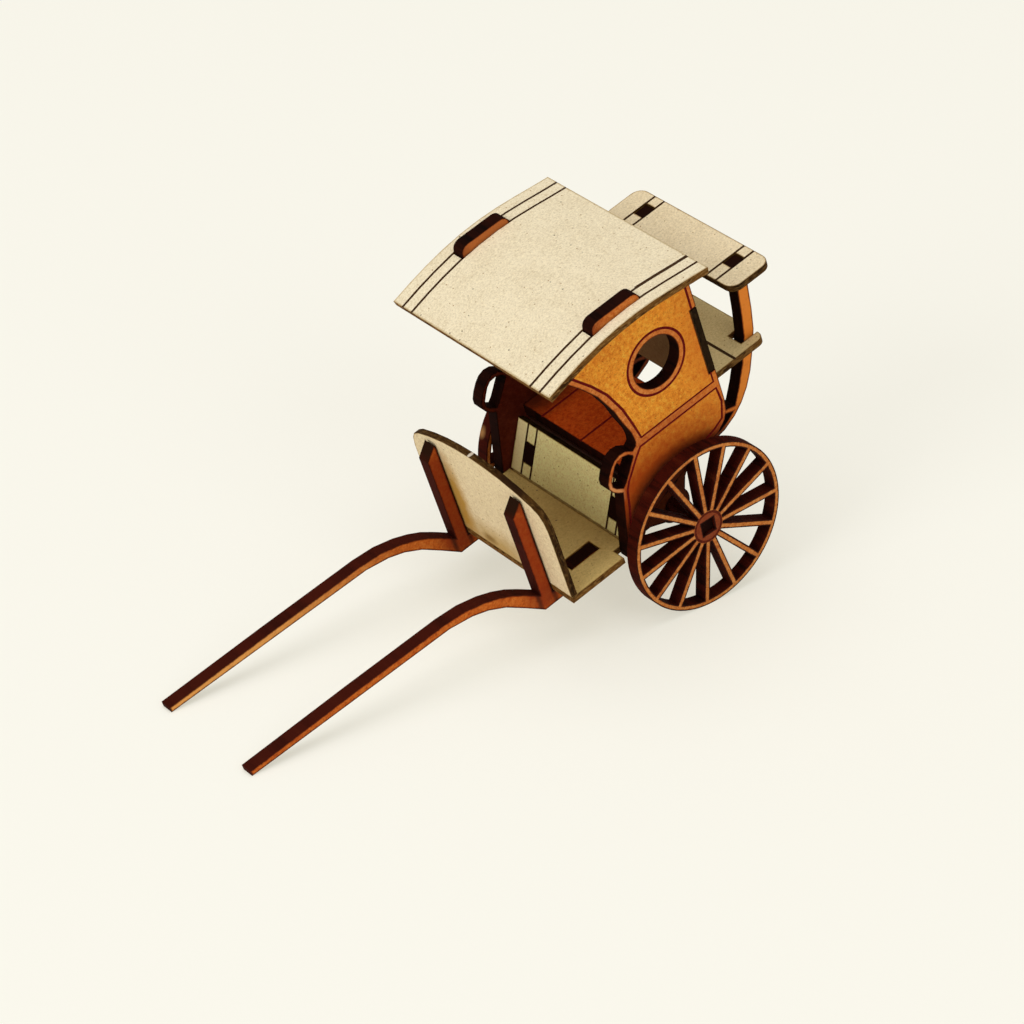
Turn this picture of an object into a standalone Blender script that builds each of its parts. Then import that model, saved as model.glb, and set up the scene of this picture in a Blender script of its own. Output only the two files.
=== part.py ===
"""Flat-pack model of a two-wheeled cab, cut from fibreboard and greyboard, resting on its wheels and shaft tips."""
import math

import bmesh
import bpy
from mathutils import Matrix, Vector

# Driving sizes in metres. Body frame: X forward, Y left, Z square to the floor, zero at the axle centre.
boardThickness = 0.0020
cardThickness = 0.0010
fitGap = 0.00015
frameMidY = 0.0095
panelMidY = 0.0140
wheelMidY = 0.0167

wheelRadius = 0.01275
rimWidth = 0.00082
hubRadius = 0.0026
spokeWidth = 0.0009
spokeCount = 15
wheelTurn = math.radians(6.2)
axleSide = 0.0020
axleHalfLength = 0.0173
axleGap = 0.0001
bearingRadius = 0.00164
bossRadius = 0.0027

shaftReach = 0.0725
shaftHeight = 0.00985
armRootHeight = 0.00235
beamBottom = 0.00045
beamTop = 0.00153
beamFront = 0.02410
uprightFront = 0.02415
uprightRear = 0.02215
uprightCorner = 0.0169
uprightApexX = 0.02235
uprightApex = 0.01885
uprightShoulder = 0.0183
strutReach = 0.0223
strutHeight = 0.02805
strutTabFront = 0.01985
strutTabRear = 0.02195
tabSink = 0.0003
floorTabFront = 0.01825
floorTabRear = 0.01355

floorTop = 0.00268
floorFront = 0.0220
floorRear = 0.0105
floorHalfWidth = 0.0150
floorNotchFront = 0.0125
floorNarrowHalf = 0.01285
panelFootFront = 0.01165
panelFootRear = 0.00875
dashHalfWidth = 0.0150
dashTop = 0.0210
innerHalfWidth = 0.01285

riserFootX = 0.00946
riserFootHeight = 0.00212
riserLean = math.radians(28.8)
riserLength = 0.0079
riserTabLow = 0.0022
riserTabHigh = 0.0050
seatUnderside = 0.0088
seatFront = 0.0052
seatRear = 0.0081

panelReach = 0.0100
panelHeight = 0.0370
panelTabFront = 0.0063
panelTabRear = 0.0022
panelTabProud = 0.0012
panelTabRound = 0.0013
windowX = 0.0016
windowShare = 0.7614
windowRadius = 0.00391
wallRear = 0.0100
wallBottom = 0.0150
wallTabLowShare = 0.5554
wallTabHighShare = 0.8554
panelRearLow = 0.0148

roofFront = 0.0164
roofRise = 0.0023
roofOverhang = 0.0021

footTop = 0.0170
footFront = 0.01015
footRear = 0.0206
footHalfWidth = 0.0123
footNotchInner = 0.0079
footNotchDepth = 0.0176
footRound = 0.0013
driverFront = 0.0167
driverRear = 0.0239
driverHalfWidth = 0.0140
driverRound = 0.0017

roofHeight = panelHeight + roofRise
roofHalfWidth = panelMidY + boardThickness / 2 + roofOverhang
panelTabTop = roofHeight + panelTabProud
windowZ = windowShare * panelHeight
wallTabLow = wallTabLowShare * panelHeight
wallTabHigh = wallTabHighShare * panelHeight
driverTop = strutHeight + fitGap + cardThickness
strutTabTop = driverTop - tabSink

# Outline points as shares of the sizes above: (share of a length, share of a height).
shaftTopShares = ((1, 1), (0.7586, 0.9746), (0.5393, 0.934), (0.4897, 0.8934), (0.4455, 0.797), (0.4138, 0.6904),
                  (0.3862, 0.5685), (0.3614, 0.4213))
shaftBottomShares = ((0.3697, 0.2132), (0.4083, 0.467), (0.4441, 0.6294), (0.4793, 0.731), (0.531, 0.8071),
                     (0.7586, 0.8629), (1, 0.9137))
strutFrontShares = ((0.3722, 0.3084), (0.4933, 0.3173), (0.6233, 0.2923), (0.6861, 0.3743), (0.722, 0.4314),
                    (0.7623, 0.492), (0.7892, 0.5561), (0.8251, 0.6239), (0.852, 0.7487), (0.8744, 0.8913),
                    (0.8744, 1))
strutRearShares = ((1, 1), (0.9821, 0.9697), (0.9596, 0.8948), (0.9372, 0.7487), (0.9103, 0.631), (0.8834, 0.5668),
                   (0.8475, 0.4991), (0.8027, 0.4171), (0.7444, 0.3422), (0.6771, 0.2816), (0.6009, 0.2353),
                   (0.5022, 0.1996), (0.3812, 0.1818), (0.2466, 0.1747), (0.1749, 0.1569), (0.1345, 0.1176))
frameGapShares = ((0.5964, 0.2656), (0.5381, 0.2834), (-0.1166, 0.2834), (-0.1614, 0.246), (-0.1973, 0.1783),
                  (-0.1928, 0.1283), (-0.148, 0.107), (-0.0897, 0.0963), (0, 0.1105), (0.0717, 0.1319),
                  (0.1166, 0.1783), (0.2018, 0.2086), (0.3812, 0.2121), (0.4709, 0.2175), (0.5336, 0.2353))
openingShares = ((0.54, 0.4905), (0.522, 0.5054), (0.525, 0.5297), (0.54, 0.5568), (0.575, 0.5865),
                 (0.62, 0.6216), (0.69, 0.6946), (0.85, 0.7973), (1.03, 0.8703), (1.2, 0.9297), (1.355, 0.9757))
loopOuterShares = ((0.945, 0.3392), (1.02, 0.3527), (1.087, 0.3716), (1.13, 0.3946), (1.125, 0.4189),
                   (1.075, 0.4473), (0.995, 0.477), (0.92, 0.4959), (0.82, 0.5054), (0.715, 0.5014),
                   (0.6, 0.4797))
loopHoleShares = ((0.63, 0.4608), (0.685, 0.4757), (0.775, 0.4851), (0.875, 0.4824), (0.94, 0.4676),
                  (1, 0.4419), (1.05, 0.4162), (1.055, 0.3946), (1.01, 0.377), (0.91, 0.3581), (0.85, 0.373),
                  (0.77, 0.4014), (0.69, 0.4311), (0.63, 0.4527))
panelUnderShares = ((-0.97, 0.3486), (-0.9, 0.3135), (-0.75, 0.2838), (-0.45, 0.2595), (-0.1, 0.2351),
                    (0.2, 0.2135), (0.5, 0.1784), (0.76, 0.1243), (0.875, 0.0784))
roofShares = ((1, 0.9313), (0.7927, 0.9555), (0.6098, 0.9733), (0.4085, 0.9885), (0.2073, 0.9975), (0, 1),
              (-0.1951, 0.9962), (-0.3963, 0.9873), (-0.5854, 0.9771), (-0.747, 0.9695))
dashShares = ((1, 0.5952), (0.9967, 0.7238), (0.9733, 0.8048), (0.9267, 0.8571), (0.84, 0.8952), (0.64, 0.9405),
              (0.4267, 0.9738), (0.2133, 0.9929), (0, 1))

fibreColour = (0.50, 0.21, 0.05)
greyColour = (0.56, 0.52, 0.42)
darkColour = (0.10, 0.045, 0.02)

for old in list(bpy.data.objects):
    bpy.data.objects.remove(old, do_unlink=True)

partCollection = bpy.data.collections.new("hansom_cab")
cutterCollection = bpy.data.collections.new("cutters")
bpy.context.scene.collection.children.link(partCollection)
bpy.context.scene.collection.children.link(cutterCollection)


def makeMaterial(name, colour, roughness):
    material = bpy.data.materials.new(name)
    material.use_nodes = True
    shader = material.node_tree.nodes["Principled BSDF"]
    shader.inputs["Base Color"].default_value = (*colour, 1.0)
    shader.inputs["Roughness"].default_value = roughness
    shader.inputs["Metallic"].default_value = 0.0
    return material


def scaled(shares, length, height):
    return [(x * length, z * height) for x, z in shares]


def arc(centreX, centreZ, radius, startAngle, endAngle, steps):
    points = []
    for i in range(steps + 1):
        angle = startAngle + (endAngle - startAngle) * i / steps
        points.append((centreX + radius * math.cos(angle), centreZ + radius * math.sin(angle)))
    return points


def box(low, high, left, right):
    return [(left, low), (right, low), (right, high), (left, high)]


def sheet(name, outlines, thickness, material, matrix):
    # Flat piece cut from sheet: the outline lies in its local XY plane, with the thickness about that plane.
    curve = bpy.data.curves.new(name, "CURVE")
    curve.dimensions = "2D"
    curve.fill_mode = "BOTH"
    curve.extrude = thickness / 2
    for outline in outlines:
        spline = curve.splines.new("POLY")
        spline.points.add(len(outline) - 1)
        for point, (x, y) in zip(spline.points, outline):
            point.co = (x, y, 0, 1)
        spline.use_cyclic_u = True
    temporary = bpy.data.objects.new(name + "_outline", curve)
    mesh = bpy.data.meshes.new_from_object(temporary)
    bpy.data.objects.remove(temporary, do_unlink=True)
    bpy.data.curves.remove(curve)
    mesh.name = name
    work = bmesh.new()
    work.from_mesh(mesh)
    bmesh.ops.remove_doubles(work, verts=work.verts, dist=fitGap / 10)
    bmesh.ops.recalc_face_normals(work, faces=work.faces)
    work.to_mesh(mesh)
    work.free()
    mesh.materials.clear()
    mesh.materials.append(makeMaterial(name, *material))
    piece = bpy.data.objects.new(name, mesh)
    piece.matrix_world = matrix
    partCollection.objects.link(piece)
    return piece


def sidePlane(y):
    return Matrix.Translation((0, y, 0)) @ Matrix.Rotation(math.radians(90), 4, "X")


def crossPlane(x):
    return Matrix.Translation((x, 0, 0)) @ Matrix.Rotation(math.radians(90), 4, "Z") @ Matrix.Rotation(
        math.radians(90), 4, "X")


def levelPlane(z):
    return Matrix.Translation((0, 0, z))


def roundedPlan(front, rear, halfWidth, radius):
    # Plan outline with four rounded corners; front and rear are distances behind the axle.
    quarter = math.radians(90)
    outline = []
    outline += arc(-front - radius, halfWidth - radius, radius, 0, quarter, 6)
    outline += arc(-rear + radius, halfWidth - radius, radius, quarter, 2 * quarter, 6)
    outline += arc(-rear + radius, -halfWidth + radius, radius, 2 * quarter, 3 * quarter, 6)
    outline += arc(-front - radius, -halfWidth + radius, radius, 3 * quarter, 4 * quarter, 6)
    return outline


fibre = (fibreColour, 0.75)
grey = (greyColour, 0.9)
dark = (darkColour, 0.8)
halfBoard = boardThickness / 2
slotHalf = halfBoard + fitGap
leanDirection = Vector((-math.sin(riserLean), math.cos(riserLean)))
leanNormal = Vector((math.cos(riserLean), math.sin(riserLean)))
riserFoot = Vector((riserFootX, riserFootHeight))


def besideRiser(distance, offset):
    point = riserFoot + leanDirection * distance + leanNormal * offset
    return (point.x, point.y)


def webTop():
    distance = (seatUnderside - fitGap - riserFoot.y + leanNormal.y * fitGap) / leanDirection.y
    return besideRiser(distance, -fitGap)


def frameOutline():
    outline = scaled(shaftTopShares, shaftReach, shaftHeight)
    outline += [(uprightFront, armRootHeight), (uprightFront, uprightCorner), (uprightApexX, uprightApex)]
    outline += [(uprightRear, uprightShoulder), (uprightRear, beamTop)]
    outline += [(floorTabFront, beamTop), (floorTabFront, floorTop), (floorTabRear, floorTop), (floorTabRear, beamTop)]
    webFront, webHeight = besideRiser(riserTabLow, -fitGap)
    outline += [(webFront, beamTop), (webFront, webHeight), besideRiser(riserTabLow, cardThickness)]
    outline += [besideRiser(riserTabHigh, cardThickness), besideRiser(riserTabHigh, -fitGap), webTop()]
    outline += scaled(strutFrontShares, -strutReach, strutHeight)
    outline += [(-strutTabFront, strutHeight), (-strutTabFront, strutTabTop)]
    outline += [(-strutTabRear, strutTabTop), (-strutTabRear, strutHeight)]
    outline += scaled(strutRearShares, -strutReach, strutHeight)
    outline += arc(0, 0, bossRadius, math.radians(150), math.radians(325), 14)
    outline += [(bossRadius + boardThickness, -beamBottom), (beamFront, -beamBottom)]
    outline += scaled(shaftBottomShares, shaftReach, shaftHeight)
    return outline


def buildFrames():
    bearing = arc(0, 0, bearingRadius, 0, math.radians(360), 32)[:-1]
    gap = scaled(frameGapShares, -strutReach, strutHeight)
    for side, sign in (("left", 1), ("right", -1)):
        sheet("frame_" + side, [frameOutline(), gap, bearing], boardThickness, fibre, sidePlane(sign * frameMidY))


def roofTopAt(x):
    points = scaled(roofShares, roofFront, roofHeight)
    for (frontX, frontZ), (rearX, rearZ) in zip(points, points[1:]):
        if rearX <= x <= frontX:
            return rearZ + (frontZ - rearZ) * (x - rearX) / (frontX - rearX)
    return points[-1][1]


def roofUnderAt(x):
    return roofTopAt(x) - cardThickness * 1.03 - fitGap


def panelOutline():
    outline = scaled(openingShares, panelReach, panelHeight)
    frontX = outline[-1][0]
    outline[-1] = (frontX, roofUnderAt(frontX))
    for x, z in scaled(roofShares, roofFront, roofHeight):
        if panelTabFront + fitGap < x < frontX - boardThickness / 2:
            outline.append((x, roofUnderAt(x)))
    outline.append((panelTabFront, roofUnderAt(panelTabFront)))
    tabFrontX, tabRearX = panelTabFront - panelTabRound, -panelTabRear + panelTabRound
    outline += arc(tabFrontX, panelTabTop - panelTabRound, panelTabRound, 0, math.radians(90), 4)
    outline += arc(tabRearX, panelTabTop - panelTabRound, panelTabRound, math.radians(90), math.radians(180), 4)
    outline.append((-panelTabRear, roofUnderAt(-panelTabRear)))
    for x, z in scaled(roofShares, roofFront, roofHeight):
        if -panelReach + boardThickness / 2 < x < -panelTabRear - fitGap:
            outline.append((x, roofUnderAt(x)))
    outline.append((-panelReach, roofUnderAt(-panelReach)))
    notchX = -wallRear + cardThickness + fitGap
    high, low = wallTabHigh + fitGap, wallTabLow - fitGap
    outline += [(-panelReach, high), (notchX, high), (notchX, low), (-panelReach, low), (-panelReach, panelRearLow)]
    outline += scaled(panelUnderShares, panelReach, panelHeight)
    footBottom = floorTop - cardThickness
    outline += [(panelFootRear, footBottom), (panelFootFront, footBottom), (panelFootFront, floorTop)]
    outline += scaled(loopOuterShares, panelReach, panelHeight)
    return outline


def buildPanels():
    window = arc(-windowX, windowZ, windowRadius, 0, math.radians(360), 48)[:-1]
    loop = scaled(loopHoleShares, panelReach, panelHeight)
    for side, sign in (("left", 1), ("right", -1)):
        sheet("side_panel_" + side, [panelOutline(), window, loop], boardThickness, fibre, sidePlane(sign * panelMidY))


def slotPlan(front, rear, midY, half):
    return [box(midY * sign - half, midY * sign + half, rear, front) for sign in (1, -1)]


def buildFloor():
    outline = [(floorFront, floorHalfWidth), (floorNotchFront, floorHalfWidth), (floorNotchFront, floorNarrowHalf)]
    outline += [(floorRear, floorNarrowHalf), (floorRear, -floorNarrowHalf), (floorNotchFront, -floorNarrowHalf)]
    outline += [(floorNotchFront, -floorHalfWidth), (floorFront, -floorHalfWidth)]
    slots = slotPlan(floorTabFront + fitGap, floorTabRear - fitGap, frameMidY, slotHalf)
    sheet("floor", [outline] + slots, cardThickness, grey, levelPlane(floorTop - cardThickness / 2))


def buildDash():
    right = scaled(dashShares, dashHalfWidth, dashTop)
    left = [(-y, z) for y, z in reversed(right[:-1])]
    bottom = floorTop + fitGap
    outline = [(dashHalfWidth, bottom)] + right + left + [(-dashHalfWidth, bottom)]
    sheet("dashboard", [outline], cardThickness, grey, crossPlane(floorFront - cardThickness / 2))


def buildRiser():
    outline = box(0, riserLength, -innerHalfWidth, innerHalfWidth)
    slots = []
    for sign in (1, -1):
        midY = frameMidY * sign
        slots.append(box(riserTabLow - fitGap, riserTabHigh + fitGap, midY - slotHalf, midY + slotHalf))
    lean = Matrix.Rotation(-riserLean, 4, "Y") @ crossPlane(cardThickness / 2)
    place = Matrix.Translation((riserFoot.x, 0, riserFoot.y)) @ lean
    sheet("seat_riser", [outline] + slots, cardThickness, grey, place)


def buildSeat():
    outline = box(-innerHalfWidth, innerHalfWidth, -seatRear, seatFront)
    sheet("seat_board", [outline], boardThickness, fibre, levelPlane(seatUnderside + halfBoard))


def buildRearWall():
    top = roofUnderAt(-wallRear)
    tabReach = panelMidY + halfBoard
    right = [(innerHalfWidth, wallBottom), (innerHalfWidth, wallTabLow), (tabReach, wallTabLow)]
    right += [(tabReach, wallTabHigh), (innerHalfWidth, wallTabHigh), (innerHalfWidth, top)]
    left = [(-y, z) for y, z in reversed(right)]
    sheet("rear_wall", [right + left], cardThickness, grey, crossPlane(-wallRear + cardThickness / 2))


def buildRoof():
    top = scaled(roofShares, roofFront, roofHeight)
    under = []
    for i, (x, z) in enumerate(top):
        before, after = top[max(i - 1, 0)], top[min(i + 1, len(top) - 1)]
        along = Vector((after[0] - before[0], after[1] - before[1])).normalized()
        inward = Vector((-along.y, along.x))
        under.append((x + inward.x * cardThickness, z + inward.y * cardThickness))
    if under[0][1] > top[0][1]:
        under = [(2 * x - ux, 2 * z - uz) for (x, z), (ux, uz) in zip(top, under)]
    roof = sheet("roof", [top + under[::-1]], 2 * roofHalfWidth, grey, sidePlane(0))
    slotLength = panelTabFront + panelTabRear + 2 * fitGap
    slotMid = (panelTabFront - panelTabRear) / 2
    for side, sign in (("left", 1), ("right", -1)):
        mesh = bpy.data.meshes.new("roof_slot_" + side)
        work = bmesh.new()
        bmesh.ops.create_cube(work, size=1)
        bmesh.ops.scale(work, vec=(slotLength, 2 * slotHalf, 6 * cardThickness), verts=work.verts)
        work.to_mesh(mesh)
        work.free()
        cutter = bpy.data.objects.new("roof_slot_" + side, mesh)
        cutter.matrix_world = Matrix.Translation((slotMid, sign * panelMidY, roofTopAt(slotMid)))
        cutter.hide_render = True
        cutter.display_type = "WIRE"
        cutterCollection.objects.link(cutter)
        cut = roof.modifiers.new("slot_" + side, "BOOLEAN")
        cut.operation = "DIFFERENCE"
        cut.solver = "EXACT"
        cut.object = cutter


def buildDriverPlaces():
    outline = roundedPlan(driverFront, driverRear, driverHalfWidth, driverRound)
    slots = slotPlan(-strutTabFront + fitGap, -strutTabRear - fitGap, frameMidY, slotHalf)
    sheet("driver_seat", [outline] + slots, cardThickness, grey, levelPlane(driverTop - cardThickness / 2))
    right = [(-footFront, footHalfWidth)]
    quarter = math.radians(90)
    earX, earY = -footRear + footRound, footHalfWidth - footRound
    right += arc(earX, earY, footRound, quarter, 2 * quarter, 6)
    outerNotch = frameMidY + slotHalf
    right += [(-footRear, outerNotch), (-footNotchDepth, outerNotch), (-footNotchDepth, footNotchInner)]
    right += [(-footRear, footNotchInner)]
    left = [(x, -y) for x, y in reversed(right)]
    sheet("driver_footboard", [right + left], cardThickness, grey, levelPlane(footTop - cardThickness / 2))


def wheelOutlines():
    outlines = [arc(0, 0, wheelRadius, 0, math.radians(360), 90)[:-1]]
    innerRim = wheelRadius - rimWidth
    step = math.radians(360) / spokeCount
    outerTurn = math.asin(spokeWidth / 2 / innerRim)
    innerTurn = math.asin(spokeWidth / 2 / hubRadius)
    for i in range(spokeCount):
        start, end = math.radians(90) + i * step, math.radians(90) + (i + 1) * step
        window = arc(0, 0, innerRim, start + outerTurn, end - outerTurn, 5)
        window += arc(0, 0, hubRadius, end - innerTurn, start + innerTurn, 1)
        outlines.append(window)
    hole = axleSide / 2 + axleGap
    outlines.append(box(-hole, hole, -hole, hole))
    return outlines


def buildWheels():
    # The right wheel sits on the same square strip half a turn further round than the left.
    turn = Matrix.Rotation(wheelTurn, 4, "Z")
    halfTurn = Matrix.Rotation(math.radians(180), 4, "Z")
    for side, place in (("left", sidePlane(wheelMidY) @ turn), ("right", sidePlane(-wheelMidY) @ turn @ halfTurn)):
        sheet("wheel_" + side, wheelOutlines(), boardThickness, fibre, place)
    half = axleSide / 2
    sheet("axle", [box(-half, half, -half, half)], 2 * axleHalfLength, dark, sidePlane(0) @ turn)


def standOnFloor():
    # Nose down until the shaft tips meet the floor that the wheels stand on, then centre the model over the origin.
    tipX, tipZ = shaftReach, shaftHeight * shaftBottomShares[-1][1]
    pitch = math.asin(wheelRadius / math.hypot(tipX, tipZ)) + math.atan2(tipZ, tipX)
    stance = Matrix.Translation((0, 0, wheelRadius)) @ Matrix.Rotation(pitch, 4, "Y")
    reach = []
    for piece in partCollection.objects:
        piece.matrix_world = stance @ piece.matrix_world
        reach += [(piece.matrix_world @ vertex.co).x for vertex in piece.data.vertices]
    middle = Matrix.Translation((-(min(reach) + max(reach)) / 2, 0, 0))
    for piece in list(partCollection.objects) + list(cutterCollection.objects):
        if piece.name.startswith("roof_slot"):
            piece.matrix_world = stance @ piece.matrix_world
        piece.matrix_world = middle @ piece.matrix_world
    axleCentre = middle @ stance @ Vector((0, 0, 0))
    print("pitch degrees", round(math.degrees(pitch), 3), "axle at", [round(v, 6) for v in axleCentre])


buildFrames()
buildPanels()
buildFloor()
buildDash()
buildRiser()
buildSeat()
buildRearWall()
buildRoof()
buildDriverPlaces()
buildWheels()
standOnFloor()
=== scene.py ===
import math

import bmesh
import bpy
from mathutils import Matrix, Vector


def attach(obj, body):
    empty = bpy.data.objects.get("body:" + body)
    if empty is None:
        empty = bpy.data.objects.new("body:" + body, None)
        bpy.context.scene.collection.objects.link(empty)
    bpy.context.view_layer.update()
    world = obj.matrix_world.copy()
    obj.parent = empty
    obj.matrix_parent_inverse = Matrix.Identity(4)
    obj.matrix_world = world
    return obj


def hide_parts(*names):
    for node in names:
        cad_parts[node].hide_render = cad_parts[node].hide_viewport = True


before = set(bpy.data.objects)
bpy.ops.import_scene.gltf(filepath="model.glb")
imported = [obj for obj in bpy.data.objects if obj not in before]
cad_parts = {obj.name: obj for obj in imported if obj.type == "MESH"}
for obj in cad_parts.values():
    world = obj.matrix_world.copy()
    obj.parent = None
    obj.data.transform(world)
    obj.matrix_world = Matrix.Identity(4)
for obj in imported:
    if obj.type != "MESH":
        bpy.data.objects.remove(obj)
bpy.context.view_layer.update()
print("frame loaded:", len(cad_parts), "nodes")

mm = 0.001
# The cab leans nose down about its axle. Lines, stains, painted shade and painted light are given square to the cab,
# in millimetres from the middle of the axle, X forward, Y left and Z up.
stance = {"pitch": math.radians(17.1272), "axle": (-0.028606, 0, 0.01275)}
leanMatrix = Matrix.Translation(stance["axle"]) @ Matrix.Rotation(stance["pitch"], 4, "Y")


def onCab(x, y, z):
    return leanMatrix @ Vector((x * mm, y * mm, z * mm))


def cabDirection(x, y, z):
    return (leanMatrix.to_3x3() @ Vector((x, y, z))).normalized()


# Camera, stage and light.

cameraView = {"place": (0.273948, 0.377651, 0.309632), "turn": (57.973, 1.5621, 142.2472), "lens": 142.496,
              "sensor": 36, "clip": (0.01, 20)}
stageLook = {"colour": (0.94, 0.945, 0.94), "roughness": 0.9, "gloss": 0.1, "backdrop": (1.0, 0.960, 0.80),
             "backdropShare": 0.55, "size": 6.0, "air": (1.0, 0.985, 0.95), "airStrength": 0.36}
softboxes = {
    "overheadSoftbox": {"place": (0.10, -0.10, 1.60), "aim": (0, 0, 0.02), "size": 1.40, "power": 11.8},
    "frontSoftbox": {"place": (1.60, 0.20, 0.88), "aim": (0, 0, 0.02), "size": 0.80, "power": 10.6},
    "sideSoftbox": {"place": (0.10, 1.70, 1.18), "aim": (0, 0, 0.02), "size": 1.00, "power": 6.9},
}


def makeCamera():
    data = bpy.data.cameras.new("modelCamera")
    data.lens = cameraView["lens"]
    data.sensor_width = cameraView["sensor"]
    data.clip_start, data.clip_end = cameraView["clip"]
    camera = bpy.data.objects.new("modelCamera", data)
    camera.location = cameraView["place"]
    camera.rotation_euler = [math.radians(angle) for angle in cameraView["turn"]]
    bpy.context.scene.collection.objects.link(camera)
    bpy.context.scene.camera = camera
    bpy.context.scene.view_settings.view_transform = "Standard"


def addNode(tree, kind, inputs=None, **settings):
    node = tree.nodes.new(kind)
    for name, value in settings.items():
        setattr(node, name, value)
    for name, value in (inputs or {}).items():
        if isinstance(value, bpy.types.NodeSocket):
            tree.links.new(value, node.inputs[name])
        else:
            node.inputs[name].default_value = value
    return node


def calculate(tree, operation, first, second):
    return addNode(tree, "ShaderNodeMath", {0: first, 1: second}, operation=operation).outputs[0]


def makeStage():
    mesh = bpy.data.meshes.new("paleFloor")
    work = bmesh.new()
    bmesh.ops.create_grid(work, x_segments=1, y_segments=1, size=stageLook["size"])
    work.to_mesh(mesh)
    work.free()
    floor = bpy.data.objects.new("paleFloor", mesh)
    bpy.context.scene.collection.objects.link(floor)
    material = bpy.data.materials.new("paleFloor")
    material.use_nodes = True
    tree = material.node_tree
    shader = tree.nodes["Principled BSDF"]
    shader.inputs["Base Color"].default_value = (*stageLook["colour"], 1)
    shader.inputs["Roughness"].default_value = stageLook["roughness"]
    shader.inputs["Specular IOR Level"].default_value = stageLook["gloss"]
    # Seen directly, mirrored or through something clear, part of the floor's light is plain backdrop, which keeps
    # the shadow on it faint.
    rays = addNode(tree, "ShaderNodeLightPath").outputs
    mirrored = calculate(tree, "MAXIMUM", rays["Is Glossy Ray"], rays["Is Transmission Ray"])
    seen = calculate(tree, "MAXIMUM", rays["Is Camera Ray"], mirrored)
    share = calculate(tree, "MULTIPLY", seen, stageLook["backdropShare"])
    glow = addNode(tree, "ShaderNodeEmission", {"Color": (*stageLook["backdrop"], 1), "Strength": 1.0})
    both = addNode(tree, "ShaderNodeMixShader", {0: share, 1: shader.outputs[0], 2: glow.outputs[0]})
    tree.links.new(both.outputs[0], tree.nodes["Material Output"].inputs["Surface"])
    mesh.materials.append(material)


def makeLight():
    world = bpy.data.worlds.new("studioAir")
    world.use_nodes = True
    world.node_tree.nodes["Background"].inputs["Color"].default_value = (*stageLook["air"], 1)
    world.node_tree.nodes["Background"].inputs["Strength"].default_value = stageLook["airStrength"]
    bpy.context.scene.world = world
    for name, box in softboxes.items():
        data = bpy.data.lights.new(name, "AREA")
        data.shape = "SQUARE"
        data.size = box["size"]
        data.energy = box["power"]
        lamp = bpy.data.objects.new(name, data)
        lamp.location = box["place"]
        aim = Vector(box["aim"]) - Vector(box["place"])
        lamp.rotation_euler = aim.to_track_quat("-Z", "Y").to_euler()
        bpy.context.scene.collection.objects.link(lamp)


makeCamera()
makeStage()
makeLight()
print("camera, stage and light ready")


# Materials: fibreboard face, its charred cut edge, greyboard face, its browned cut edge, scorched lines and glue.

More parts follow.
